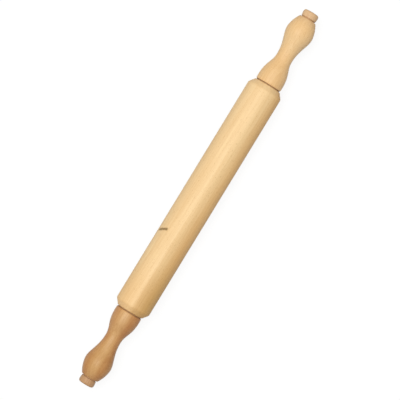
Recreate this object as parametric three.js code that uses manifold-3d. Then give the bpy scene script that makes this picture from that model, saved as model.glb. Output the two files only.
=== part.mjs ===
// A wooden rolling pin whose barrel and handles turn on one steel axle.
// Millimetres, +Z up. The axle runs along X and the origin is the middle of the barrel.
import * as THREE from 'three';
import { mergeVertices } from 'three/addons/utils/BufferGeometryUtils.js';
import Module from 'manifold-3d';

const wasm = await Module();
wasm.setup();

// Driving dimensions. Every radius is measured from the axle's centre line.

// Steel axle, with a thread of smaller radius at each end
const AXLE_RADIUS = 4;
const SHOULDER_STEP = 1;
const STUD_PROUD = 1;
const STUD_CHAMFER = 0.6;

// Clearances
const RUN_CLEARANCE = 0.15;
const SEAT_CLEARANCE = 0.1;
const FACE_GAP = 0.15;
const HANDLE_END_PLAY = 0.3;

// Barrel
const BARREL_LENGTH = 283;
const BARREL_RADIUS = 20;
const BARREL_BORE_CLEARANCE = 0.9;
const BARREL_END_WALL = 5.3;
const BARREL_CHAMFER_LENGTH = 6.4;

// Flanged nylon bushes, pressed into the barrel's ends
const BUSH_LENGTH = 20;
const BUSH_WALL = 3;
const BUSH_FLANGE_WIDTH = 2.5;
const BUSH_FLANGE_THICKNESS = 2;

// Thrust washers in the seams between the barrel and the handles
const THRUST_WASHER_INSET = 0.6;
const THRUST_WASHER_THICKNESS = 0.8;

// Handles: radii of the turned outline, and the spans between its high and low points
const COLLAR_RADIUS = 15.05;
const COLLAR_EDGE_DROP = 0.7;
const NECK_RADIUS = 9.25;
const BULB_RADIUS = 15.4;
const TIP_WALL = 3.1;
const COLLAR_SPAN = 4.6;
const NECK_SPAN = 28.8;
const BULB_SPAN = 30.5;
const TIP_SPAN = 17.4;

// How long each curve stays level beside its high or low point, as a share of the span
const COLLAR_LEAVE_SHARE = 0.55;
const NECK_ARRIVE_SHARE = 0.35;
const NECK_LEAVE_SHARE = 0.47;
const BULB_ARRIVE_SHARE = 0.26;
const BULB_LEAVE_SHARE = 0.26;
const TIP_ARRIVE_SHARE = 0.31;
const TIP_SLOPE = 0.68;

// End washers on the axle's shoulders
const END_WASHER_THICKNESS = 1.6;
const END_WASHER_CLEARANCE = 0.5;

// Self-locking nuts, each with a nylon ring in its crown
const NUT_WALL = 2;
const NUT_HEX_HEIGHT = 4;
const NUT_CHAMFER_ANGLE = Math.PI / 6;
const NUT_CORNER_CLEARANCE = 0.8;
const NUT_RING_WALL = 0.7;
const NUT_RING_HEIGHT = 1.5;
const NUT_RING_COVER = 0.3;
const NUT_LIP = 0.3;
const NUT_CROWN_WALL = 0.6;

// Wooden end buttons, whose tenons plug the handles' counterbores
const TENON_LENGTH = 6;
const TENON_GAP = 0.5;
const TENON_CHAMFER = 0.5;
const GROOVE_LEDGE = 1.15;
const GROOVE_WIDTH = 1;
const GROOVE_DEPTH = 0.8;
const BUTTON_FLARE = 0.5;
const BUTTON_FLARE_LENGTH = 4.3;
const BUTTON_RIM_LENGTH = 3.5;
const BUTTON_RIM_DROP = 2.4;

// Facets of the turned wood and of the small hardware, and steps along each curve
const WOOD_SIDES = 36;
const HARDWARE_SIDES = 24;
const CURVE_STEPS = 6;
const HEX_SIDES = 6;

// Radii that follow from the axle outwards
const studRadius = AXLE_RADIUS - SHOULDER_STEP;
const bushBoreRadius = AXLE_RADIUS + RUN_CLEARANCE;
const bushRadius = bushBoreRadius + BUSH_WALL;
const bushSeatRadius = bushRadius + SEAT_CLEARANCE;
const flangeRadius = bushRadius + BUSH_FLANGE_WIDTH;
const flangeSeatRadius = flangeRadius + SEAT_CLEARANCE;
const thrustWasherRadius = COLLAR_RADIUS - COLLAR_EDGE_DROP - THRUST_WASHER_INSET;
const barrelBoreRadius = AXLE_RADIUS + BARREL_BORE_CLEARANCE;
const barrelEndRadius = flangeSeatRadius + BARREL_END_WALL;
const handleBoreRadius = AXLE_RADIUS + RUN_CLEARANCE;
const nutFlatRadius = studRadius + NUT_WALL;
const nutCornerRadius = nutFlatRadius / Math.cos(Math.PI / HEX_SIDES);
const counterboreRadius = nutCornerRadius + NUT_CORNER_CLEARANCE;
const tipRadius = counterboreRadius + TIP_WALL;
const ringBoreRadius = studRadius + SEAT_CLEARANCE;
const ringRadius = ringBoreRadius + NUT_RING_WALL;
const tenonRadius = counterboreRadius - SEAT_CLEARANCE;
const grooveRadius = tenonRadius + GROOVE_LEDGE;
const buttonBaseRadius = grooveRadius + GROOVE_DEPTH;
const buttonRadius = buttonBaseRadius + BUTTON_FLARE;

// Places along the axle, counted from the middle of the barrel towards one end
const barrelEnd = BARREL_LENGTH / 2;
const thrustWasherPlace = barrelEnd + FACE_GAP;
const handlePlace = thrustWasherPlace + THRUST_WASHER_THICKNESS + FACE_GAP;
const handleLength = COLLAR_SPAN + NECK_SPAN + BULB_SPAN + TIP_SPAN;
const handleEnd = handlePlace + handleLength;
const nutHeight = NUT_HEX_HEIGHT + SEAT_CLEARANCE + NUT_RING_HEIGHT + SEAT_CLEARANCE + NUT_LIP;
const clampedLength = FACE_GAP + END_WASHER_THICKNESS + FACE_GAP + nutHeight + STUD_PROUD;
const counterboreDepth = HANDLE_END_PLAY + clampedLength + TENON_GAP + TENON_LENGTH;
const shoulderPlace = handleEnd - counterboreDepth + HANDLE_END_PLAY;
const endWasherPlace = shoulderPlace + FACE_GAP;
const nutPlace = endWasherPlace + END_WASHER_THICKNESS + FACE_GAP;
const ringPlace = nutPlace + NUT_HEX_HEIGHT + SEAT_CLEARANCE;
const studEnd = shoulderPlace + clampedLength;
const buttonPlace = handleEnd + SEAT_CLEARANCE;

// Colours of the woods, the steel, the nylon and the fibre
const BARREL_WOOD = { color: 0xf1d09e, roughness: 0.6, metalness: 0 };
const RIGHT_HANDLE_WOOD = { color: 0xecc48f, roughness: 0.55, metalness: 0 };
const LEFT_HANDLE_WOOD = { color: 0xcd9b66, roughness: 0.55, metalness: 0 };
const STEEL = { color: 0xb4b6ba, roughness: 0.35, metalness: 1 };
const NYLON = { color: 0xe8e4d8, roughness: 0.5, metalness: 0 };
const FIBRE = { color: 0xb58b60, roughness: 0.8, metalness: 0 };

function mesh(name, geometry, finish, place = 0) {
  const made = new THREE.Mesh(geometry, new THREE.MeshStandardMaterial(finish));
  made.name = name;
  made.position.y = place;
  return made;
}

// A solid of revolution about local Y. The outline holds radius and height pairs, up its
// outer side; half a facet of turn puts flats at the top and the bottom.
function turned(outline, sides) {
  const points = outline.map(([radius, height]) => new THREE.Vector2(radius, height));
  return new THREE.LatheGeometry(points, sides, Math.PI / sides, 2 * Math.PI);
}

// A plain ring with a hole, standing on local Y = 0
function ring(boreRadius, outerRadius, height) {
  return turned(
    [
      [boreRadius, 0],
      [outerRadius, 0],
      [outerRadius, height],
      [boreRadius, height],
      [boreRadius, 0],
    ],
    HARDWARE_SIDES,
  );
}

function solid(geometry) {
  const bare = geometry.clone();
  bare.deleteAttribute('normal');
  bare.deleteAttribute('uv');
  const merged = mergeVertices(bare);
  return new wasm.Manifold(new wasm.Mesh({
    numProp: 3,
    vertProperties: new Float32Array(merged.attributes.position.array),
    triVerts: new Uint32Array(merged.index.array),
  }));
}

function geometryOf(manifold) {
  const { vertProperties, triVerts } = manifold.getMesh();
  const geometry = new THREE.BufferGeometry();
  geometry.setAttribute('position', new THREE.BufferAttribute(vertProperties, 3));
  geometry.setIndex(new THREE.BufferAttribute(triVerts, 1));
  geometry.computeVertexNormals();
  return geometry;
}

// The bore of one barrel end, from the end face inwards
function barrelBore(side) {
  const flangeFloor = barrelEnd - BUSH_FLANGE_THICKNESS - SEAT_CLEARANCE;
  const bushFloor = barrelEnd - BUSH_LENGTH - SEAT_CLEARANCE;
  return [
    [flangeSeatRadius, side * barrelEnd],
    [flangeSeatRadius, side * flangeFloor],
    [bushSeatRadius, side * flangeFloor],
    [bushSeatRadius, side * bushFloor],
    [barrelBoreRadius, side * bushFloor],
  ];
}

function barrelGeometry() {
  const chamferStart = barrelEnd - BARREL_CHAMFER_LENGTH;
  const outside = [
    [barrelEndRadius, -barrelEnd],
    [BARREL_RADIUS, -chamferStart],
    [BARREL_RADIUS, chamferStart],
    [barrelEndRadius, barrelEnd],
  ];
  const lowerBore = barrelBore(-1).reverse();
  const outline = [...outside, ...barrelBore(1), ...lowerBore, outside[0]];
  return turned(outline, WOOD_SIDES);
}

function axleGeometry() {
  const upperEnd = [
    [AXLE_RADIUS, shoulderPlace],
    [studRadius, shoulderPlace],
    [studRadius, studEnd - STUD_CHAMFER],
    [studRadius - STUD_CHAMFER, studEnd],
    [0, studEnd],
  ];
  const lowerEnd = upperEnd.map(([radius, place]) => [radius, -place]).reverse();
  return turned([...lowerEnd, ...upperEnd], HARDWARE_SIDES);
}

// Local Y = 0 is the flange's outer face, flush with the barrel's end
function bushGeometry() {
  return turned(
    [
      [bushBoreRadius, -BUSH_LENGTH],
      [bushRadius, -BUSH_LENGTH],
      [bushRadius, -BUSH_FLANGE_THICKNESS],
      [flangeRadius, -BUSH_FLANGE_THICKNESS],
      [flangeRadius, 0],
      [bushBoreRadius, 0],
      [bushBoreRadius, -BUSH_LENGTH],
    ],
    HARDWARE_SIDES,
  );
}

// A smooth run between a high and a low point of the outline, level at both
function sweep(outline, from, to, leaveShare, arriveShare) {
  const span = to.y - from.y;
  const leaving = from.y + leaveShare * span;
  const arriving = to.y - arriveShare * span;
  outline.bezierCurveTo(from.x, leaving, to.x, arriving, to.x, to.y);
}

// Local Y = 0 is the face towards the barrel
function handleGeometry() {
  const collarEdge = new THREE.Vector2(COLLAR_RADIUS - COLLAR_EDGE_DROP, 0);
  const collar = new THREE.Vector2(COLLAR_RADIUS, COLLAR_SPAN);
  const neck = new THREE.Vector2(NECK_RADIUS, collar.y + NECK_SPAN);
  const bulb = new THREE.Vector2(BULB_RADIUS, neck.y + BULB_SPAN);
  const tip = new THREE.Vector2(tipRadius, handleLength);
  const floor = handleLength - counterboreDepth;
  const tipReach = TIP_ARRIVE_SHARE * TIP_SPAN;

  const outline = new THREE.Path();
  outline.moveTo(handleBoreRadius, 0);
  outline.lineTo(collarEdge.x, collarEdge.y);
  outline.quadraticCurveTo(collar.x, 0, collar.x, collar.y);
  sweep(outline, collar, neck, COLLAR_LEAVE_SHARE, NECK_ARRIVE_SHARE);
  sweep(outline, neck, bulb, NECK_LEAVE_SHARE, BULB_ARRIVE_SHARE);
  outline.bezierCurveTo(
    bulb.x,
    bulb.y + BULB_LEAVE_SHARE * TIP_SPAN,
    tip.x + TIP_SLOPE * tipReach,
    tip.y - tipReach,
    tip.x,
    tip.y,
  );
  outline.lineTo(counterboreRadius, handleLength);
  outline.lineTo(counterboreRadius, floor);
  outline.lineTo(handleBoreRadius, floor);
  outline.lineTo(handleBoreRadius, 0);
  const points = outline.getPoints(CURVE_STEPS).map(({ x, y }) => [x, y]);
  return turned(points, WOOD_SIDES);
}

// A hexagon with chamfered corners and a round crown, bored for the stud and the nylon ring
function lockNutGeometry() {
  const cornerDrop = (nutCornerRadius - nutFlatRadius) * Math.tan(NUT_CHAMFER_ANGLE);
  const hexagon = new THREE.CylinderGeometry(
    nutCornerRadius,
    nutCornerRadius,
    NUT_HEX_HEIGHT,
    HEX_SIDES,
  );
  hexagon.translate(0, NUT_HEX_HEIGHT / 2, 0);
  const cornerCut = turned(
    [
      [0, 0],
      [nutFlatRadius, 0],
      [nutCornerRadius, cornerDrop],
      [nutCornerRadius, NUT_HEX_HEIGHT - cornerDrop],
      [nutFlatRadius, NUT_HEX_HEIGHT],
      [0, NUT_HEX_HEIGHT],
    ],
    HARDWARE_SIDES,
  );
  const ringSeatRadius = ringRadius + SEAT_CLEARANCE;
  const crownRadius = ringSeatRadius + NUT_CROWN_WALL;
  const crownRoot = NUT_HEX_HEIGHT / 2;
  const crown = turned(
    [
      [0, crownRoot],
      [crownRadius, crownRoot],
      [crownRadius, nutHeight],
      [0, nutHeight],
    ],
    HARDWARE_SIDES,
  );
  const lipRadius = ringRadius - NUT_RING_COVER;
  const below = -nutHeight;
  const above = 2 * nutHeight;
  const bore = turned(
    [
      [0, below],
      [studRadius + SEAT_CLEARANCE, below],
      [studRadius + SEAT_CLEARANCE, NUT_HEX_HEIGHT],
      [ringSeatRadius, NUT_HEX_HEIGHT],
      [ringSeatRadius, nutHeight - NUT_LIP],
      [lipRadius, nutHeight - NUT_LIP],
      [lipRadius, above],
      [0, above],
    ],
    HARDWARE_SIDES,
  );
  const blank = solid(hexagon).intersect(solid(cornerCut)).add(solid(crown));
  return geometryOf(blank.subtract(solid(bore)));
}

// Local Y = 0 is the face that meets the handle's outer end
function endButtonGeometry() {
  const headStart = GROOVE_WIDTH;
  const rimStart = headStart + BUTTON_FLARE_LENGTH;
  const headEnd = rimStart + BUTTON_RIM_LENGTH;
  const outline = new THREE.Path();
  outline.moveTo(0, -TENON_LENGTH);
  outline.lineTo(tenonRadius - TENON_CHAMFER, -TENON_LENGTH);
  outline.lineTo(tenonRadius, TENON_CHAMFER - TENON_LENGTH);
  outline.lineTo(tenonRadius, 0);
  outline.lineTo(grooveRadius, 0);
  outline.lineTo(grooveRadius, headStart);
  outline.lineTo(buttonBaseRadius, headStart);
  outline.lineTo(buttonRadius, rimStart);
  outline.quadraticCurveTo(buttonRadius, headEnd, buttonRadius - BUTTON_RIM_DROP, headEnd);
  outline.lineTo(0, headEnd);
  const points = outline.getPoints(CURVE_STEPS).map(({ x, y }) => [x, y]);
  return turned(points, WOOD_SIDES);
}

// Everything that one end of the pin carries, stacked outwards along local Y
function endPieces(side, wood) {
  const thrustWasher = ring(
    AXLE_RADIUS + RUN_CLEARANCE,
    thrustWasherRadius,
    THRUST_WASHER_THICKNESS,
  );
  const endWasher = ring(
    studRadius + RUN_CLEARANCE,
    counterboreRadius - END_WASHER_CLEARANCE,
    END_WASHER_THICKNESS,
  );
  const nutRing = ring(ringBoreRadius, ringRadius, NUT_RING_HEIGHT);
  const end = new THREE.Group();
  end.add(
    mesh(`${side}_barrel_bush`, bushGeometry(), NYLON, barrelEnd),
    mesh(`${side}_thrust_washer`, thrustWasher, FIBRE, thrustWasherPlace),
    mesh(`${side}_handle`, handleGeometry(), wood, handlePlace),
    mesh(`${side}_end_washer`, endWasher, STEEL, endWasherPlace),
    mesh(`${side}_lock_nut`, lockNutGeometry(), STEEL, nutPlace),
    mesh(`${side}_nut_ring`, nutRing, NYLON, ringPlace),
    mesh(`${side}_end_button`, endButtonGeometry(), wood, buttonPlace),
  );
  return end;
}

function rollingPin() {
  const middle = new THREE.Group();
  middle.rotation.z = -Math.PI / 2;
  middle.add(
    mesh('barrel', barrelGeometry(), BARREL_WOOD),
    mesh('axle_rod', axleGeometry(), STEEL),
  );
  const rightEnd = endPieces('right', RIGHT_HANDLE_WOOD);
  rightEnd.rotation.z = -Math.PI / 2;
  const leftEnd = endPieces('left', LEFT_HANDLE_WOOD);
  leftEnd.rotation.z = Math.PI / 2;
  const pin = new THREE.Group();
  pin.add(middle, leftEnd, rightEnd);
  return pin;
}

export default rollingPin();
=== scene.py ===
"""Looks of a wooden rolling pin whose barrel and handles turn on one steel axle.

Metres, +Z up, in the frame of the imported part: the axle lies along X through the origin.
"""
import math
from dataclasses import dataclass

import bmesh
import bpy
from mathutils import Color, Matrix, Vector


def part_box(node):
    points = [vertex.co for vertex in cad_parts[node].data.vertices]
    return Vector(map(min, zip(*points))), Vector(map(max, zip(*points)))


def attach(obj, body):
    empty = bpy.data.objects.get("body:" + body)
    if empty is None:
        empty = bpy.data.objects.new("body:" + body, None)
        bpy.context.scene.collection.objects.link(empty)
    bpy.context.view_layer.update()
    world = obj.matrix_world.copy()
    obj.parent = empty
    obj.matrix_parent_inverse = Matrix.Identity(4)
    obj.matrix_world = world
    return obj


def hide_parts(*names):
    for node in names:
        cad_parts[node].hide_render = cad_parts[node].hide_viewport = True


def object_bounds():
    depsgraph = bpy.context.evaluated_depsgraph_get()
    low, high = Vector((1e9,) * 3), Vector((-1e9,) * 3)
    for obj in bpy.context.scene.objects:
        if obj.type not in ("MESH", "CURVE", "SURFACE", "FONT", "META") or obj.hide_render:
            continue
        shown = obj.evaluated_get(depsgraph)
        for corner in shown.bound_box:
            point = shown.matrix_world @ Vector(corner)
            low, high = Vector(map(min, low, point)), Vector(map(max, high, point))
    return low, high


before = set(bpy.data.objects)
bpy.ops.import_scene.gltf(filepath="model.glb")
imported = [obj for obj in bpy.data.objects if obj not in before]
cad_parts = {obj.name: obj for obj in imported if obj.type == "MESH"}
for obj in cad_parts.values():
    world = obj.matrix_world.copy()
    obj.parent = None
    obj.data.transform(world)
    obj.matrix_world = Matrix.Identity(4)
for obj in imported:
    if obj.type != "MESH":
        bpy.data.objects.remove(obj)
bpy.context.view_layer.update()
MM = 0.001
SIDES = {"left": -1, "right": 1}

# Turned outline of the wood, as in the part
BARREL_CHAMFER_LENGTH = 6.4 * MM
COLLAR_RADIUS = 15.05 * MM
COLLAR_EDGE_DROP = 0.7 * MM
NECK_RADIUS = 9.25 * MM
BULB_RADIUS = 15.4 * MM
COLLAR_SPAN = 4.6 * MM
NECK_SPAN = 28.8 * MM
BULB_SPAN = 30.5 * MM
TIP_SPAN = 17.4 * MM
COLLAR_LEAVE_SHARE = 0.55
NECK_ARRIVE_SHARE = 0.35
NECK_LEAVE_SHARE = 0.47
BULB_ARRIVE_SHARE = 0.26
BULB_LEAVE_SHARE = 0.26
TIP_ARRIVE_SHARE = 0.31
TIP_SLOPE = 0.68
GROOVE_WIDTH = 1 * MM
BUTTON_FLARE_LENGTH = 4.3 * MM
BUTTON_RIM_DROP = 2.4 * MM
TENON_CHAMFER = 0.5 * MM

# Clearances and small sizes of the hardware, as in the part
FACE_GAP = 0.15 * MM
SEAT_CLEARANCE = 0.1 * MM
HANDLE_END_PLAY = 0.3 * MM
BUSH_FLANGE_THICKNESS = 2 * MM
NUT_HEX_HEIGHT = 4 * MM
NUT_CHAMFER_ANGLE = math.pi / 6
STUD_CHAMFER = 0.6 * MM

# Metric thread on the axle's ends: crest and root are flat, as shares of the pitch
THREAD_PITCH = 1 * MM
THREAD_DEPTH = 0.61 * MM
THREAD_CREST = 1 / 8
THREAD_ROOT = 1 / 4
THREAD_STEPS = 12

# How far each kind of edge is rounded, and the most of a straight run that one rounding takes
CHAMFER_EDGE = 1.2 * MM
FACE_EDGE = 0.6 * MM
BORE_EDGE = 0.2 * MM
HARDWARE_EDGE = 0.12 * MM
BUSH_EDGE = 0.24 * MM
CROWN_EDGE = 0.48 * MM
ROUNDED_SHARE = 0.45

# Fineness of the turned meshes
WOOD_FACETS = 144
HARDWARE_FACETS = 72
CURVE_STEPS = 28
EDGE_STEPS = 5
LONGEST_STEP = 5 * MM
GUARD_STEP = 0.35 * MM
SHORTEST_RUN = 4 * GUARD_STEP
SAME_POINT = 0.0001 * MM
SHARP_ANGLE = math.radians(40)

# Flat map of each turned surface, cut along the underside
FLAT_MAP = "OFBake"

# How close to a place a node's corners are read
SAME_PLACE = 0.02 * MM


# Sizes read from the frame

def ends(node):
    """Distances from the barrel's middle at which a node of one side starts and ends."""
    low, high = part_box(node)
    return sorted((abs(low.x), abs(high.x)))


def radii(node, along):
    """Least and greatest radius of a node's corners at a distance from the barrel's middle."""
    found = [
        math.hypot(v.co.y, v.co.z)
        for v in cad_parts[node].data.vertices
        if abs(abs(v.co.x) - along) < SAME_PLACE
    ]
    return min(found), max(found)


def reach(node):
    """Least and greatest radius of a whole node."""
    found = [math.hypot(v.co.y, v.co.z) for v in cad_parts[node].data.vertices]
    return min(found), max(found)


BARREL_END = ends("barrel")[1]
BARREL_RADIUS = reach("barrel")[1]
CHAMFER_START = BARREL_END - BARREL_CHAMFER_LENGTH
HANDLE_START, HANDLE_END = ends("right_handle")
BUTTON_START, BUTTON_END = ends("right_end_button")
BUTTON_SEAT = HANDLE_END + SEAT_CLEARANCE
SHOULDER = ends("right_end_washer")[0] - FACE_GAP
SEAM = (BARREL_END + HANDLE_START) / 2
GROOVE = BUTTON_SEAT + GROOVE_WIDTH / 2


# Outlines: points of distance along the axle, radius, and edge rounding

def bezier(start, *controls):
    """Points of a Bezier curve after its start."""
    points = [start, *controls]
    made = []
    for step in range(1, CURVE_STEPS + 1):
        share = step / CURVE_STEPS
        level = points
        while len(level) > 1:
            level = [
                tuple(a + share * (b - a) for a, b in zip(p, q))
                for p, q in zip(level, level[1:])
            ]
        made.append((*level[0], 0))
    return made


def rounded(before, corner, after):
    """The corner's rounding, as a short curve between its two neighbours."""
    along, radius, rounding = corner
    if not rounding:
        return [(along, radius)]
    here = Vector((along, radius))
    arms = []
    for other in (before, after):
        arm = Vector(other[:2]) - here
        arms.append(arm.normalized() * min(rounding, ROUNDED_SHARE * arm.length))
    made = []
    for step in range(EDGE_STEPS + 1):
        share = step / EDGE_STEPS
        point = here + arms[0] * (1 - share) ** 2 + arms[1] * share ** 2
        made.append(tuple(point))
    return made


def spaced(start, end):
    """Points that break a long straight run, close to its ends and evenly between."""
    run = Vector(end) - Vector(start)
    if run.length < SHORTEST_RUN:
        return []
    steps = math.ceil(run.length / LONGEST_STEP)
    shares = {GUARD_STEP / run.length, 1 - GUARD_STEP / run.length}
    shares |= {step / steps for step in range(1, steps)}
    return [tuple(Vector(start) + run * share) for share in sorted(shares)]


def finished(corners, closed):
    """Every point of an outline, with its edges rounded and its long runs broken up."""
    count = len(corners)
    soft = []
    for index, corner in enumerate(corners):
        at_end = not closed and index in (0, count - 1)
        if at_end:
            soft.append(corner[:2])
        else:
            soft += rounded(corners[index - 1], corner, corners[(index + 1) % count])
    points = [soft[0]]
    for previous, point in zip(soft, soft[1:]):
        points += spaced(previous, point) + [point]
    if closed:
        points += spaced(soft[-1], soft[0])
    return points


def unrolled(points, closed):
    """Where each ring of a turned surface lies on its flat map, from 0 to 1, by area."""
    line = points + points[:1] if closed else points
    areas = [0.0]
    for (along, radius), (next_along, next_radius) in zip(line, line[1:]):
        slant = math.hypot(next_along - along, next_radius - radius)
        areas.append(areas[-1] + slant * (radius + next_radius) / 2)
    return [area / areas[-1] for area in areas]


def turned(name, corners, side=1, closed=True, facets=WOOD_FACETS, limit=None):
    """A mesh turned about X. limit gives the greatest radius at a place and an angle."""
    points = finished(corners, closed)
    mesh = bmesh.new()
    rings = []
    for along, radius in points:
        ring = []
        for step in range(facets):
            angle = 2 * math.pi * step / facets
            here = min(radius, limit(along, angle)) if limit else radius
            place = (side * along, here * math.sin(angle), here * math.cos(angle))
            ring.append(mesh.verts.new(place))
        rings.append(ring)
    followers = rings[1:] + (rings[:1] if closed else [])
    flat_map = mesh.loops.layers.uv.new(FLAT_MAP)
    rows = unrolled(points, closed)
    for ring, follower, row, next_row in zip(rings, followers, rows, rows[1:]):
        for step in range(facets):
            after = (step + 1) % facets
            face = mesh.faces.new((ring[step], ring[after], follower[after], follower[step]))
            column = (step + facets // 2) % facets
            left, right = column / facets, (column + 1) / facets
            places = ((left, row), (right, row), (right, next_row), (left, next_row))
            for loop, place in zip(face.loops, places):
                loop[flat_map].uv = place
    bmesh.ops.remove_doubles(mesh, verts=mesh.verts, dist=SAME_POINT)
    bmesh.ops.recalc_face_normals(mesh, faces=mesh.faces)
    for face in mesh.faces:
        face.smooth = True
    data = bpy.data.meshes.new(name)
    mesh.to_mesh(data)
    mesh.free()
    data.set_sharp_from_angle(angle=SHARP_ANGLE)
    piece = bpy.data.objects.new(name, data)
    bpy.context.scene.collection.objects.link(piece)
    return piece


# Shader graphs
BRIGHTEST = 255
WHITE = (1, 1, 1, 1)

# Sockets of a Mix node that mixes colours
MIX_FACTOR, MIX_FIRST, MIX_SECOND = 0, 6, 7
MIX_RESULT = 2

# Stretches of a noise's values, from a soft contrast to a hard one, and its mean
SOFT = (0.2, 0.8)
EVEN = (0.25, 0.75)
FIRM = (0.3, 0.7)
HARD = (0.35, 0.65)
NOISE_MEAN = 0.5


def linear(red, green, blue):
    """A colour written as 8-bit sRGB, as the shader's linear values."""
    written = Color((red / BRIGHTEST, green / BRIGHTEST, blue / BRIGHTEST))
    return (*written.from_srgb_to_scene_linear(), 1)


class Graph:
    """The node tree of a material or the world, with short ways to add what it needs."""

    def __init__(self, owner):
        self.owner = owner
        owner.use_nodes = True
        self.tree = owner.node_tree
        self.tree.nodes.clear()

    def node(self, kind, inputs=None, **settings):
        """A new node, with its sockets by name or place and its settings by name."""
        made = self.tree.nodes.new("ShaderNode" + kind)
        for key, value in settings.items():
            setattr(made, key, value)
        for key, value in (inputs or {}).items():
            self.feed(made.inputs[key], value)
        return made

    def feed(self, socket, value):
        """Links a socket to another one, or sets its value."""
        if isinstance(value, bpy.types.NodeSocket):
            self.tree.links.new(value, socket)
        else:
            socket.default_value = value

    def math(self, operation, *values):
        made = self.node("Math", operation=operation)
        for socket, value in zip(made.inputs, values):
            self.feed(socket, value)
        return made.outputs[0]

    def product(self, first, *others):
        for other in others:
            first = self.math("MULTIPLY", first, other)
        return first

    def greatest(self, first, *others):
        for other in others:
            first = self.math("MAXIMUM", first, other)
        return first

    def moved(self, value, noise, distance):
        """The value, moved to and fro by a noise over a distance."""
        off_mean = self.math("SUBTRACT", noise, NOISE_MEAN)
        return self.math("MULTIPLY_ADD", off_mean, distance, value)

    def span(self, value, low, high, new_low=0.0, new_high=1.0):
        """The value's place between low and high, eased, from new_low to new_high."""
        sockets = {
            "Value": value,
            "From Min": low,
            "From Max": high,
            "To Min": new_low,
            "To Max": new_high,
        }
        made = self.node("MapRange", sockets, interpolation_type="SMOOTHSTEP")
        return made.outputs["Result"]

    def near(self, value, place, distance):
        """How near a value is to a place, from 1 there to 0 at a distance."""
        apart = self.math("ABSOLUTE", self.math("SUBTRACT", value, place))
        return self.span(apart, 0.0, distance, 1.0, 0.0)

    def mix(self, factor, first, second, blend="MIX"):
        made = self.node("Mix", data_type="RGBA", blend_type=blend)
        self.feed(made.inputs[MIX_FACTOR], factor)
        self.feed(made.inputs[MIX_FIRST], first)
        self.feed(made.inputs[MIX_SECOND], second)
        return made.outputs[MIX_RESULT]

    def tinted(self, factor, colour, tint):
        """The colour multiplied by a tint, as far as the factor says."""
        return self.mix(factor, colour, (*tint, 1), "MULTIPLY")

    def coordinate(self, kind):
        return self.node("TexCoord").outputs[kind]

    def axes(self, vector):
        """The three parts of a vector."""
        return self.node("SeparateXYZ", {"Vector": vector}).outputs

    def stretched(self, place, scale, location=(0, 0, 0), rotation=(0, 0, 0)):
        sockets = {
            "Vector": place,
            "Location": location,
            "Rotation": rotation,
            "Scale": scale,
        }
        return self.node("Mapping", sockets).outputs["Vector"]

    def noise(self, place, detail=3.0, roughness=0.55, scale=1.0):
        sockets = {
            "Vector": place,
            "Scale": scale,
            "Detail": detail,
            "Roughness": roughness,
        }
        return self.node("TexNoise", sockets).outputs["Fac"]

    def bump(self, height, relief, under=None):
        """A surface normal from a height, by a relief's strength and depth, over another one."""
        strength, depth = relief
        sockets = {"Height": height, "Strength": strength, "Distance": depth}
        if under:
            sockets["Normal"] = under
        return self.node("Bump", sockets).outputs["Normal"]

    def end(self, shader, output="OutputMaterial"):
        """Ends the tree with a shader, and gives back the material or world."""
        self.node(output, {"Surface": shader.outputs[0]})
        return self.owner

    def surface(self, **sockets):
        """Ends the tree with the usual surface shader, its sockets by name."""
        inputs = {key.replace("_", " "): value for key, value in sockets.items()}
        return self.end(self.node("BsdfPrincipled", inputs))


def new_finish(name):
    return Graph(bpy.data.materials.new(name))


# Wood

@dataclass
class Wood:
    """One piece of timber: tones, how its blank lay in the tree, roughness, and how much painted
    shade its seams and groove get.
    """

    name: str
    pale: tuple
    dark: tuple
    pith: tuple
    lean: tuple
    ring_gap: float
    ring_share: float
    polished: float
    dull: float
    seam_shade: float = 1.0
    groove_shade: float = 1.0


BARREL_WOOD = Wood(
    "barrel_wood",
    pale=(255, 222, 169),
    dark=(238, 197, 140),
    pith=(0.0, 0.062, 0.031),
    lean=(0.0, 0.012, 0.018),
    ring_gap=4.2 * MM,
    ring_share=0.18,
    polished=0.5,
    dull=0.66,
    seam_shade=0.75,
)
HANDLE_WOODS = {
    "left": Wood(
        "left_handle_wood",
        pale=(224, 180, 122),
        dark=(198, 149, 92),
        pith=(0.03, -0.021, 0.034),
        lean=(0.0, -0.03, 0.05),
        ring_gap=3.1 * MM,
        ring_share=0.24,
        polished=0.36,
        dull=0.5,
        groove_shade=0.3,
    ),
    "right": Wood(
        "right_handle_wood",
        pale=(247, 207, 150),
        dark=(228, 182, 123),
        pith=(-0.02, 0.025, -0.029),
        lean=(0.0, 0.02, -0.04),
        ring_gap=3.4 * MM,
        ring_share=0.2,
        polished=0.4,
        dull=0.54,
        seam_shade=0.3,
    ),
}
BUTTON_WOODS = {
    "left": Wood(
        "left_button_wood",
        pale=(205, 163, 118),
        dark=(178, 132, 90),
        pith=(0.0, 0.018, 0.012),
        lean=(0.0, 0.03, 0.02),
        ring_gap=2.6 * MM,
        ring_share=0.3,
        polished=0.4,
        dull=0.55,
        groove_shade=0.3,
    ),
    "right": Wood(
        "right_button_wood",
        pale=(236, 198, 152),
        dark=(212, 170, 123),
        pith=(0.0, -0.016, 0.014),
        lean=(0.0, -0.02, 0.03),
        ring_gap=2.8 * MM,
        ring_share=0.3,
        polished=0.4,
        dull=0.55,
    ),
}
WOOD_SPECULAR = 0.35

# Sizes of the grain, as features per metre along and across the fibres
FIBRE_GRAIN = (14, 620, 620)
FIGURE_GRAIN = (7, 60, 60)
RAY_GRAIN = (240, 1500, 1500)
PORE_GRAIN = (700, 4200, 4200)
TOOL_GRAIN = (2200, 25, 25)
FIBRE_STRETCH = (0.3, 0.72)

# Year rings: a Wave texture of scale 1 repeats after this length, and they wander a little
WAVE_LENGTH = math.pi / 10
RING_DISTORTION = 1.6
RING_DETAIL = 2.0
RING_DETAIL_SCALE = 0.35

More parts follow.
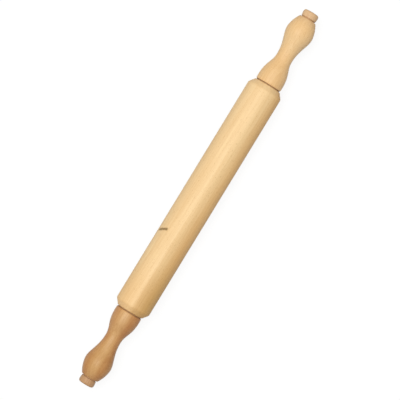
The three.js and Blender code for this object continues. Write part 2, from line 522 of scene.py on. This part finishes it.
# Short lines: where in its cell a line starts to fade and where it ends, and how faint some are
RAY_LINE = (0.08, 0.3)
PORE_LINE = (0.1, 0.35)
LINE_CHANCE = (0.1, 0.9)
FAINTEST_LINE = 0.2

# How much of the way from pale to dark each pattern goes, and the tints of what is darker still
FIBRE_SHARE = 0.42
FIGURE_SHARE = 0.3
RAY_SHARE = 0.7
PORE_SHARE = 0.6
RAY_TINT = (0.62, 0.49, 0.36)
PORE_TINT = (0.72, 0.6, 0.47)

# Cut ends: how squarely a surface faces along the axle to count as one
END_SQUARENESS = 5.0
END_TINT = (0.82, 0.74, 0.64)
END_RING_TINT = (0.78, 0.68, 0.56)

# Painted shade beside the seams and in the groove, and the wear of burnished edges: how far each
# spreads, and between which strengths it varies
SEAM_SHADE_REACH = 2.4 * MM
GROOVE_SHADE_REACH = 1.8 * MM
PAINTED_SHADE_STRENGTHS = (0.55, 0.95)
PAINTED_SHADE_TINT = (0.74, 0.64, 0.52)
BURNISH_REACH = 1.6 * MM
BURNISH_STRENGTHS = (0.25, 0.75)
BURNISH_TINT = (0.97, 0.94, 0.88)

# Reliefs, as strength and depth
TOOL_RELIEF = (0.16, 0.05 * MM)
FIBRE_RELIEF = (0.25, 0.08 * MM)
HOLE_RELIEF = (0.2, 0.06 * MM)


def growth_rings(graph, blank, wood):
    """Bands round the pith, darkening slowly through each year's growth."""
    sockets = {
        "Vector": blank,
        "Scale": WAVE_LENGTH / wood.ring_gap,
        "Distortion": RING_DISTORTION,
        "Detail": RING_DETAIL,
        "Detail Scale": RING_DETAIL_SCALE,
    }
    wave = graph.node(
        "TexWave",
        sockets,
        wave_type="RINGS",
        rings_direction="X",
        wave_profile="SAW",
    )
    return wave.outputs["Fac"]


def short_lines(graph, blank, grain, line):
    """Short lines along the fibres, one in each stretched cell and some of them fainter."""
    cells = graph.node("TexVoronoi", {"Vector": graph.stretched(blank, grain), "Scale": 1.0})
    lines = graph.span(cells.outputs["Distance"], *line, 1.0, 0.0)
    chance = graph.axes(cells.outputs["Color"])["X"]
    return graph.product(lines, graph.span(chance, *LINE_CHANCE, FAINTEST_LINE, 1.0))


class Grain:
    """The patterns that one blank's colour, relief and gloss share."""

    def __init__(self, graph, place, wood):
        blank = graph.stretched(place, (1, 1, 1), wood.pith, wood.lean)
        self.rings = growth_rings(graph, blank, wood)
        fibre_places = graph.stretched(blank, FIBRE_GRAIN)
        self.fibres = graph.noise(fibre_places, detail=6.0, roughness=0.7)
        self.figure = graph.noise(graph.stretched(blank, FIGURE_GRAIN), detail=2.0)
        self.rays = short_lines(graph, blank, RAY_GRAIN, RAY_LINE)
        self.pores = short_lines(graph, blank, PORE_GRAIN, PORE_LINE)
        self.tool = graph.noise(graph.stretched(place, TOOL_GRAIN), detail=2.0)


def grain_colour(graph, grain, wood):
    """Rings, fibres, slow figure, rays and pores."""
    fibres = graph.span(grain.fibres, *FIBRE_STRETCH)
    figure = graph.span(grain.figure, *FIRM)
    tone = graph.math("MULTIPLY", grain.rings, wood.ring_share)
    tone = graph.math("MULTIPLY_ADD", fibres, FIBRE_SHARE, tone)
    tone = graph.math("MULTIPLY_ADD", figure, FIGURE_SHARE, tone)
    colour = graph.mix(tone, linear(*wood.pale), linear(*wood.dark))
    colour = graph.tinted(graph.product(grain.rays, RAY_SHARE), colour, RAY_TINT)
    return graph.tinted(graph.product(grain.pores, PORE_SHARE), colour, PORE_TINT)


def end_grain_colour(graph, colour, grain):
    """Cut ends drink more oil, so they are darker and show the year rings."""
    facing = graph.axes(graph.coordinate("Normal"))["X"]
    square = graph.math("POWER", graph.math("ABSOLUTE", facing), END_SQUARENESS)
    colour = graph.tinted(square, colour, END_TINT)
    return graph.tinted(graph.product(square, grain.rings), colour, END_RING_TINT)


def shaded_and_worn_colour(graph, colour, grain, along, wood):
    """Painted shade beside the seams and in the grooves, and edges that hands have burnished."""
    # Painted shade: darker wood beside the seams and in the groove, where the gaps are in shadow
    seam_and_groove_shade = graph.greatest(
        graph.product(graph.near(along, SEAM, SEAM_SHADE_REACH), wood.seam_shade),
        graph.product(graph.near(along, GROOVE, GROOVE_SHADE_REACH), wood.groove_shade),
    )
    seam_and_groove_shade = graph.product(seam_and_groove_shade, graph.span(grain.fibres, *SOFT, *PAINTED_SHADE_STRENGTHS))
    colour = graph.tinted(seam_and_groove_shade, colour, PAINTED_SHADE_TINT)
    edge = graph.near(along, CHAMFER_START, BURNISH_REACH)
    edge = graph.product(edge, graph.span(grain.figure, *FIRM, *BURNISH_STRENGTHS))
    return graph.tinted(edge, colour, BURNISH_TINT)


def wood_material(wood, marks=None):
    """Oiled pale timber: its grain, its own marks, its cut ends, painted shade at the seams and
    the groove, and the wear of use.
    """
    graph = new_finish(wood.name)
    place = graph.coordinate("Object")
    along = graph.math("ABSOLUTE", graph.axes(place)["X"])
    grain = Grain(graph, place, wood)
    colour = grain_colour(graph, grain, wood)
    if marks:
        colour = marks(graph, place, colour)
    colour = end_grain_colour(graph, colour, grain)
    colour = shaded_and_worn_colour(graph, colour, grain, along, wood)
    solid = graph.math("SUBTRACT", 1.0, graph.greatest(grain.rays, grain.pores))
    relief = graph.bump(grain.tool, TOOL_RELIEF)
    relief = graph.bump(grain.fibres, FIBRE_RELIEF, relief)
    relief = graph.bump(solid, HOLE_RELIEF, relief)
    return graph.surface(
        Base_Color=colour,
        Roughness=graph.span(grain.fibres, *EVEN, wood.polished, wood.dull),
        Specular_IOR_Level=WOOD_SPECULAR,
        Normal=relief,
    )


# The barrel's heartwood along one side, and painted warm shade that deepens towards that side's
# edge; left is -X
HEART_PLACE = -2.9 * MM
HEART_DRIFT = 0.0122
HEART_SOFTNESS = 3.0 * MM
HEART_WANDER = 4.0 * MM
HEART_GRAIN = (9, 20, 20)
HEART_TINT = (0.82, 0.768, 0.66)
HEART_LEFT = -135 * MM
HEART_RIGHT = -30 * MM
HEART_RIGHT_SHARE = 0.38
SHADED_SIDE_START = -6 * MM
SHADED_SIDE_FULL = -16 * MM
SHADED_SIDE_LEFT = -130 * MM
SHADED_SIDE_RIGHT = -60 * MM
SHADED_SIDE_LEFT_TINT = (0.93, 0.885, 0.74)
SHADED_SIDE_RIGHT_TINT = (0.965, 0.86, 0.71)

# Its stained left end
STAIN_START = -75 * MM
STAIN_FULL = -125 * MM
STAIN_TINT = (0.955, 0.905, 0.84)

# Its one dark fleck, from and to places along the barrel and round it from the top
FLECK_START = Vector((-45.0 * MM, 11.8 * MM))
FLECK_END = Vector((-50.2 * MM, 24.2 * MM))
FLECK_WIDTH = 2.5 * MM
FLECK_FADE = 2.0 * MM
FLECK_WANDER = 1.4 * MM
FLECK_GRAIN = (520, 520, 520)
FLECK_STRENGTHS = (1.0, 0.85)
FLECK_TONE = (128, 97, 46)


def fleck_mask(graph, place):
    """Where the fleck is, with uneven edges."""
    x, y, z = graph.axes(place)
    round_barrel = graph.product(graph.math("ARCTAN2", y, z), BARREL_RADIUS)
    run = FLECK_END - FLECK_START
    line = run.normalized()
    x = graph.math("SUBTRACT", x, FLECK_START.x)
    y = graph.math("SUBTRACT", round_barrel, FLECK_START.y)
    forward = graph.math("MULTIPLY_ADD", y, line.y, graph.product(x, line.x))
    aside = graph.math("MULTIPLY_ADD", y, line.x, graph.product(x, -line.y))
    uneven = graph.noise(graph.stretched(place, FLECK_GRAIN), detail=2.0)
    aside = graph.moved(aside, uneven, FLECK_WANDER)
    half = run.length / 2
    fade = FLECK_FADE / 2
    from_middle = graph.math("ABSOLUTE", graph.math("SUBTRACT", forward, half))
    length = graph.span(from_middle, half - fade, half + fade, 1.0, 0.0)
    strength = graph.span(uneven, *FIRM, *FLECK_STRENGTHS)
    return graph.product(graph.near(aside, 0.0, FLECK_WIDTH), length, strength)


def barrel_marks(graph, place, colour):
    """The barrel's heartwood, painted warm shade along its darker side, stain and fleck."""
    x, y, _ = graph.axes(place)
    wander = graph.noise(graph.stretched(place, HEART_GRAIN), detail=1.0)
    side = graph.math("MULTIPLY_ADD", x, HEART_DRIFT, y)
    side = graph.moved(side, wander, HEART_WANDER)
    full = HEART_PLACE - HEART_SOFTNESS
    heart = graph.span(side, full, HEART_PLACE + HEART_SOFTNESS, 1.0, 0.0)
    fading = graph.span(x, HEART_LEFT, HEART_RIGHT, 1.0, HEART_RIGHT_SHARE)
    colour = graph.tinted(graph.product(heart, fading), colour, HEART_TINT)
    # Painted warm shade: darker and warmer towards the -Y edge, with its own tint at each end
    side_shade = graph.span(side, SHADED_SIDE_FULL, SHADED_SIDE_START, 1.0, 0.0)
    rightward = graph.span(x, SHADED_SIDE_LEFT, SHADED_SIDE_RIGHT)
    tint = graph.mix(rightward, (*SHADED_SIDE_LEFT_TINT, 1), (*SHADED_SIDE_RIGHT_TINT, 1))
    colour = graph.mix(side_shade, colour, tint, "MULTIPLY")
    stain = graph.span(x, STAIN_FULL, STAIN_START, 1.0, 0.0)
    colour = graph.tinted(stain, colour, STAIN_TINT)
    return graph.mix(fleck_mask(graph, place), colour, linear(*FLECK_TONE))


# The handles' own marks: bands with a middle, a reach and a tint. On the left handle they darken
# the collar's slope and the bulb; on both handles the bands at 224 mm are painted shade towards
# the groove, and the right handle's paler band is a painted sheen. Both sides of the darker
# handle get redder wood with painted shade.
BANDS = {
    "left": [
        (163 * MM, 13 * MM, (0.9, 0.87, 0.85)),
        (205 * MM, 40 * MM, (0.95, 0.93, 0.85)),
        # Painted shade on the tip, darkening towards the groove
        (224 * MM, 14 * MM, (0.87, 0.84, 0.85)),
    ],
    "right": [
        # Painted sheen: a paler, less yellow band on the bulb
        (193 * MM, 20 * MM, (1.01, 1.07, 1.17)),
        # Painted shade on the tip, darkening towards the groove
        (224 * MM, 10 * MM, (0.9, 0.9, 0.95)),
    ],
}
PATCH_GRAIN = (35, 70, 70)
PATCH_STRETCH = (0.3, 0.65)
FAINTEST_BAND = 0.7
SHADED_BLUSH_MIDDLE = 0.1
SHADED_BLUSH_START = 0.12
SHADED_BLUSH_FULL = 0.7
SHADED_BLUSH_TINT = (0.8, 0.63, 0.52)
FAINTEST_SHADED_BLUSH = 0.45


def blushed_and_shaded(graph, patches, colour):
    """Redder wood and painted shade at both sides of the handle, where it faces sideways."""
    aside = graph.axes(graph.coordinate("Normal"))["Y"]
    aside = graph.math("ABSOLUTE", graph.math("SUBTRACT", aside, SHADED_BLUSH_MIDDLE))
    shaded_blush = graph.span(aside, SHADED_BLUSH_START, SHADED_BLUSH_FULL)
    shaded_blush = graph.product(shaded_blush, graph.span(patches, *PATCH_STRETCH, FAINTEST_SHADED_BLUSH, 1.0))
    # The tint both reddens the wood and paints shade on the handle's sides
    return graph.tinted(shaded_blush, colour, SHADED_BLUSH_TINT)


def handle_marks(name):
    """The marks of one handle, painted shade and sheen among them, as a function that colours
    its wood.
    """
    def marks(graph, place, colour):
        along = graph.math("ABSOLUTE", graph.axes(place)["X"])
        patches = graph.noise(graph.stretched(place, PATCH_GRAIN), detail=2.0)
        # Some bands are painted: shade towards the groove, and a sheen on the right bulb
        for middle, distance, tint in BANDS[name]:
            strength = graph.span(patches, *PATCH_STRETCH, FAINTEST_BAND, 1.0)
            band = graph.product(graph.near(along, middle, distance), strength)
            colour = graph.tinted(band, colour, tint)
        return blushed_and_shaded(graph, patches, colour) if name == "left" else colour

    return marks


# Drawn steel: fine scratches and slow streaks along the axle, as features per metre
SCRATCH_GRAIN = (60, 4000, 4000)
STREAK_GRAIN = (20, 450, 450)
STEEL_DARK = (0.42, 0.43, 0.45, 1)
STEEL_PALE = (0.53, 0.53, 0.54, 1)
STEEL_ROUGHNESS = (0.24, 0.42)
STEEL_RELIEF = (0.12, 0.02 * MM)

# Nylon: slow clouds and a fine moulded grain, as features per metre
CLOUD_SCALE = 240.0
MOULD_SCALE = 3200.0
NYLON_DARK = (226, 221, 206)
NYLON_PALE = (238, 235, 224)
NYLON_ROUGHNESS = (0.4, 0.55)
NYLON_RELIEF = (0.1, 0.02 * MM)
NYLON_DEPTH_WEIGHT = 0.15
NYLON_DEPTH = (2.0 * MM, 1.6 * MM, 1.2 * MM)

# Pressed fibre: speckles per metre
SPECKLE_SCALE = 2200.0
FIBRE_DARK = (166, 125, 84)
FIBRE_PALE = (196, 153, 108)
FIBRE_ROUGHNESS = (0.7, 0.9)
SPECKLE_RELIEF = (0.3, 0.04 * MM)


def steel_material():
    """Turned and drawn bright steel."""
    graph = new_finish("bright_steel")
    place = graph.coordinate("Object")
    scratches = graph.noise(graph.stretched(place, SCRATCH_GRAIN), detail=4.0)
    streaks = graph.noise(graph.stretched(place, STREAK_GRAIN), detail=3.0)
    return graph.surface(
        Base_Color=graph.mix(graph.span(streaks, *FIRM), STEEL_DARK, STEEL_PALE),
        Metallic=1.0,
        Roughness=graph.span(scratches, *EVEN, *STEEL_ROUGHNESS),
        Normal=graph.bump(scratches, STEEL_RELIEF),
    )


def nylon_material():
    """Moulded natural nylon, slightly cloudy."""
    graph = new_finish("natural_nylon")
    place = graph.coordinate("Object")
    clouds = graph.span(graph.noise(place, detail=3.0, scale=CLOUD_SCALE), *FIRM)
    grain = graph.noise(place, detail=2.0, scale=MOULD_SCALE)
    return graph.surface(
        Base_Color=graph.mix(clouds, linear(*NYLON_DARK), linear(*NYLON_PALE)),
        Roughness=graph.span(grain, *FIRM, *NYLON_ROUGHNESS),
        Subsurface_Weight=NYLON_DEPTH_WEIGHT,
        Subsurface_Radius=NYLON_DEPTH,
        Normal=graph.bump(grain, NYLON_RELIEF),
    )


def fibre_material():
    """Tan pressed fibre, speckled."""
    graph = new_finish("pressed_fibre")
    place = graph.coordinate("Object")
    speckles = graph.noise(place, detail=4.0, scale=SPECKLE_SCALE)
    tone = graph.span(speckles, *HARD)
    return graph.surface(
        Base_Color=graph.mix(tone, linear(*FIBRE_DARK), linear(*FIBRE_PALE)),
        Roughness=graph.span(speckles, *FIRM, *FIBRE_ROUGHNESS),
        Normal=graph.bump(speckles, SPECKLE_RELIEF),
    )


# Pieces

def dress(piece, body, node, material):
    """Gives a piece its finish and its body, and hides the CAD node that it stands for."""
    piece.data.materials.append(material)
    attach(piece, body)
    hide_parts(node)


def mirrored(half):
    """The same corners on the other side of the barrel's middle, in order."""
    return [(-along, radius, rounding) for along, radius, rounding in reversed(half)]


def barrel_corners():
    """Closed outline: chamfered outside, and a bore with a seat for a bush at each end."""
    flange_seat, face = radii("barrel", BARREL_END)
    bore = reach("barrel")[0]
    flange_floor = BARREL_END - BUSH_FLANGE_THICKNESS - SEAT_CLEARANCE
    bush_floor = ends("right_barrel_bush")[0] - SEAT_CLEARANCE
    bush_seat = radii("barrel", bush_floor)[1]
    half = [
        (CHAMFER_START, BARREL_RADIUS, CHAMFER_EDGE),
        (BARREL_END, face, FACE_EDGE),
        (BARREL_END, flange_seat, BORE_EDGE),
        (flange_floor, flange_seat, 0),
        (flange_floor, bush_seat, 0),
        (bush_floor, bush_seat, 0),
        (bush_floor, bore, 0),
    ]
    return half + mirrored(half)


def handle_corners():
    """Closed outline: collar, neck, bulb and tip outside; bore and counterbore inside."""
    bore = reach("right_handle")[0]
    counterbore, tip = radii("right_handle", HANDLE_END)
    floor = SHOULDER - HANDLE_END_PLAY
    collar_at = HANDLE_START + COLLAR_SPAN
    neck_at = collar_at + NECK_SPAN
    bulb_at = neck_at + BULB_SPAN
    edge = (HANDLE_START, COLLAR_RADIUS - COLLAR_EDGE_DROP)
    collar = (collar_at, COLLAR_RADIUS)
    neck = (neck_at, NECK_RADIUS)
    bulb = (bulb_at, BULB_RADIUS)
    tip_arm = TIP_ARRIVE_SHARE * TIP_SPAN
    outside = [(*edge, FACE_EDGE)]
    outside += bezier(edge, (HANDLE_START, COLLAR_RADIUS), collar)
    outside += bezier(
        collar,
        (collar_at + COLLAR_LEAVE_SHARE * NECK_SPAN, COLLAR_RADIUS),
        (neck_at - NECK_ARRIVE_SHARE * NECK_SPAN, NECK_RADIUS),
        neck,
    )
    outside += bezier(
        neck,
        (neck_at + NECK_LEAVE_SHARE * BULB_SPAN, NECK_RADIUS),
        (bulb_at - BULB_ARRIVE_SHARE * BULB_SPAN, BULB_RADIUS),
        bulb,
    )
    outside += bezier(
        bulb,
        (bulb_at + BULB_LEAVE_SHARE * TIP_SPAN, BULB_RADIUS),
        (HANDLE_END - tip_arm, tip + TIP_SLOPE * tip_arm),
        (HANDLE_END, tip),
    )
    inside = [
        (HANDLE_END, counterbore, 0),
        (floor, counterbore, 0),
        (floor, bore, 0),
        (HANDLE_START, bore, BORE_EDGE),
    ]
    return outside + inside


def button_corners():
    """Open outline on the axle's line: tenon, groove, flared head and flat end."""
    tenon, groove = radii("right_end_button", BUTTON_SEAT)
    head_start = BUTTON_SEAT + GROOVE_WIDTH
    rim_start = head_start + BUTTON_FLARE_LENGTH
    base = radii("right_end_button", head_start)[1]
    radius = reach("right_end_button")[1]
    face = radius - BUTTON_RIM_DROP
    outline = [
        (BUTTON_START, 0, 0),
        (BUTTON_START, tenon, TENON_CHAMFER),
        (BUTTON_SEAT, tenon, 0),
        (BUTTON_SEAT, groove, 0),
        (head_start, groove, BORE_EDGE),
        (head_start, base, FACE_EDGE),
        (rim_start, radius, 0),
    ]
    outline += bezier((rim_start, radius), (BUTTON_END, radius), (BUTTON_END, face))
    return outline + [(BUTTON_END, 0, 0)]


def ring_corners(node):
    """Closed outline of a plain ring."""
    start, end = ends(node)
    bore, radius = reach(node)
    return [
        (start, bore, HARDWARE_EDGE),
        (start, radius, HARDWARE_EDGE),
        (end, radius, HARDWARE_EDGE),
        (end, bore, HARDWARE_EDGE),
    ]


def bush_corners(node):
    """Closed outline of a flanged bush."""
    start, end = ends(node)
    bore, body = radii(node, start)
    flange = radii(node, end)[1]
    flange_start = end - BUSH_FLANGE_THICKNESS
    return [
        (start, bore, HARDWARE_EDGE),
        (start, body, BUSH_EDGE),
        (flange_start, body, 0),
        (flange_start, flange, HARDWARE_EDGE),
        (end, flange, BUSH_EDGE),
        (end, bore, BUSH_EDGE),
    ]


def nut_corners(node, ring_node):
    """Closed outline of a self-locking nut, still round; hexagon() cuts its flats."""
    start, end = ends(node)
    bore, flat = radii(node, start)
    corner = reach(node)[1]
    lip, crown = radii(node, end)
    hexagon_end = start + NUT_HEX_HEIGHT
    drop = (corner - flat) * math.tan(NUT_CHAMFER_ANGLE)
    seat_start, seat_end = ends(ring_node)
    seat_start -= SEAT_CLEARANCE
    seat_end += SEAT_CLEARANCE
    ring_seat = reach(ring_node)[1] + SEAT_CLEARANCE
    return [
        (start, bore, HARDWARE_EDGE),
        (start, flat, 0),
        (start + drop, corner, 0),
        (hexagon_end - drop, corner, 0),
        (hexagon_end, flat, 0),
        (hexagon_end, crown, 0),
        (end, crown, CROWN_EDGE),
        (end, lip, HARDWARE_EDGE),
        (seat_end, lip, 0),
        (seat_end, ring_seat, 0),
        (seat_start, ring_seat, 0),
        (seat_start, bore, 0),
    ]


def hexagon(flat_radius):
    """Limit that cuts a round piece to six flats."""
    sixth = math.pi / 3

    def limit(_, angle):
        return flat_radius / math.cos(angle % sixth - sixth / 2)

    return limit


def axle_corners():
    """Open outline on the axle's line: a rod with a thinner stud at each end."""
    stud_end = ends("axle_rod")[1]
    stud, rod = radii("axle_rod", SHOULDER)
    thread_end = stud_end - STUD_CHAMFER
    steps = round((thread_end - SHOULDER) / THREAD_PITCH * THREAD_STEPS)
    half = [(SHOULDER, rod, HARDWARE_EDGE)]
    for step in range(steps + 1):
        half.append((SHOULDER + (thread_end - SHOULDER) * step / steps, stud, 0))
    half += [(stud_end, stud - STUD_CHAMFER, 0), (stud_end, 0, 0)]
    return mirrored(half) + half


def screw_thread(stud_radius):
    """Limit that cuts a right-hand thread into both of the axle's studs."""
    def limit(along, angle):
        beyond = abs(along) - SHOULDER
        if beyond <= 0:
            return math.inf
        turn = (along / THREAD_PITCH + angle / (2 * math.pi)) % 1
        flank = (abs(2 * turn - 1) - THREAD_CREST) / (1 - THREAD_CREST - THREAD_ROOT)
        run_in = min(1, beyond / THREAD_PITCH)
        return stud_radius - THREAD_DEPTH * run_in * min(1, max(0, flank))

    return limit


def build_grip(name, side):
    """The handle and the end button of one side."""
    body = f"{name}_handle"
    handle_wood = wood_material(HANDLE_WOODS[name], handle_marks(name))
    handle = turned(f"{name}_handle_turning", handle_corners(), side)
    dress(handle, body, f"{name}_handle", handle_wood)
    button_wood = wood_material(BUTTON_WOODS[name])
    button = turned(f"{name}_button_turning", button_corners(), side, closed=False)
    dress(button, body, f"{name}_end_button", button_wood)


def build_hardware(name, side, steel, nylon, fibre):
    """The bush, the washers and the lock nut of one side."""
    bush_node = f"{name}_barrel_bush"
    bush = turned(
        f"{name}_bush_moulding",
        bush_corners(bush_node),
        side,
        facets=HARDWARE_FACETS,
    )
    dress(bush, "barrel", bush_node, nylon)
    rings = {
        "thrust_washer": ("fibre", fibre),
        "end_washer": ("steel", steel),
        "nut_ring": ("nylon", nylon),
    }
    for part, (slot_name, finish) in rings.items():
        node = f"{name}_{part}"
        ring = turned(f"{node}_disc", ring_corners(node), side, facets=HARDWARE_FACETS)
        dress(ring, "axle", node, finish)
    nut_node = f"{name}_lock_nut"
    flat_radius = radii(nut_node, ends(nut_node)[0])[1]
    nut = turned(
        f"{name}_nut_forging",
        nut_corners(nut_node, f"{name}_nut_ring"),
        side,
        facets=HARDWARE_FACETS,
        limit=hexagon(flat_radius),
    )
    dress(nut, "axle", nut_node, steel)


def build_pin():
    """The barrel, the axle, and what each end carries."""
    steel = steel_material()
    nylon = nylon_material()
    fibre = fibre_material()
    barrel = turned("barrel_turning", barrel_corners())
    barrel_wood = wood_material(BARREL_WOOD, barrel_marks)
    dress(barrel, "barrel", "barrel", barrel_wood)
    axle = turned(
        "axle_bar",
        axle_corners(),
        closed=False,
        facets=HARDWARE_FACETS,
        limit=screw_thread(radii("axle_rod", SHOULDER)[0]),
    )
    dress(axle, "axle", "axle_rod", steel)
    for name, side in SIDES.items():
        build_grip(name, side)
        build_hardware(name, side, steel, nylon, fibre)


# Camera, from the picture's side, the pin's place and angle in it, and its scale
PHOTO_SIDE = 400
MM_PER_PIXEL = 1.07
PIN_ANGLE = math.radians(58.61)
PIN_CENTRE_PIXEL = (198.7, 198.4)
CAMERA_HEIGHT = 2.6
SENSOR_WIDTH = 36.0
CLIP_END = 50.0

# Light
KEY_TILT = math.radians(11)
KEY_TURN = math.radians(85)
KEY_STRENGTH = 2.12
KEY_SPREAD = math.radians(45)
AMBIENT = 0.34

# Floor: what it sends back to the pin, and what the camera sees, in light and as added glow
FLOOR_SIDE = 12.0
FLOOR_TONE = (0.45, 0.45, 0.45, 1)
FLOOR_SEEN_TONE = (0.14, 0.14, 0.14, 1)
FLOOR_GLOW = 0.88


def seen_directly(graph):
    """1 for what the camera sees directly, in a reflection or through glass."""
    path = graph.node("LightPath").outputs
    kinds = ("Is Camera Ray", "Is Glossy Ray", "Is Transmission Ray")
    return graph.greatest(*(path[kind] for kind in kinds))


def floor_material():
    """Pale floor that is white to the camera and keeps the shadow."""
    graph = new_finish("studio_floor")
    shade = graph.node("BsdfDiffuse", {"Color": FLOOR_TONE})
    shadow = graph.node("BsdfDiffuse", {"Color": FLOOR_SEEN_TONE})
    glow = graph.node("Emission", {"Color": WHITE, "Strength": FLOOR_GLOW})
    white = graph.node("AddShader", {0: shadow.outputs[0], 1: glow.outputs[0]})
    sockets = {0: seen_directly(graph), 1: shade.outputs[0], 2: white.outputs[0]}
    return graph.end(graph.node("MixShader", sockets))


def build_floor():
    """A plain floor under the pin."""
    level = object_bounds()[0].z
    half = FLOOR_SIDE / 2
    corners = [
        (-half, -half, level),
        (half, -half, level),
        (half, half, level),
        (-half, half, level),
    ]
    data = bpy.data.meshes.new("floor")
    data.from_pydata(corners, [], [(0, 1, 2, 3)])
    data.materials.append(floor_material())
    floor = bpy.data.objects.new("floor", data)
    bpy.context.scene.collection.objects.link(floor)


def build_world():
    """Even light all round, which is white where it is seen directly."""
    graph = Graph(bpy.data.worlds.new("studio"))
    strength = graph.span(seen_directly(graph), 0.0, 1.0, AMBIENT, 1.0)
    background = graph.node("Background", {"Color": WHITE, "Strength": strength})
    bpy.context.scene.world = graph.end(background, "OutputWorld")


def build_key():
    """One broad lamp overhead, leaning a little to the picture's upper left."""
    data = bpy.data.lights.new("key", "SUN")
    data.energy = KEY_STRENGTH
    data.angle = KEY_SPREAD
    key = bpy.data.objects.new("key", data)
    bpy.context.scene.collection.objects.link(key)
    towards = Vector((
        math.sin(KEY_TILT) * math.cos(KEY_TURN),
        math.sin(KEY_TILT) * math.sin(KEY_TURN),
        math.cos(KEY_TILT),
    ))
    key.rotation_mode = "QUATERNION"
    key.rotation_quaternion = towards.to_track_quat("Z", "Y")


def build_camera():
    """Straight down on the pin, turned so that it crosses the picture as in the photograph."""
    right = Vector((math.cos(PIN_ANGLE), -math.sin(PIN_ANGLE), 0))
    up = Vector((math.sin(PIN_ANGLE), math.cos(PIN_ANGLE), 0))
    pixel = MM_PER_PIXEL * MM
    middle = PHOTO_SIDE / 2
    across = (middle - PIN_CENTRE_PIXEL[0]) * pixel
    upward = (PIN_CENTRE_PIXEL[1] - middle) * pixel
    place = right * across + up * upward
    place.z = CAMERA_HEIGHT
    data = bpy.data.cameras.new("camera")
    data.sensor_width = SENSOR_WIDTH
    data.lens = SENSOR_WIDTH * CAMERA_HEIGHT / (PHOTO_SIDE * pixel)
    data.clip_end = CLIP_END
    camera = bpy.data.objects.new("camera", data)
    bpy.context.scene.collection.objects.link(camera)
    turn = Matrix((right, up, Vector((0, 0, 1)))).transposed()
    camera.matrix_world = Matrix.Translation(place) @ turn.to_4x4()
    bpy.context.scene.camera = camera


build_pin()
build_floor()
build_world()
build_key()
build_camera()
bpy.context.scene.view_settings.view_transform = "Standard"
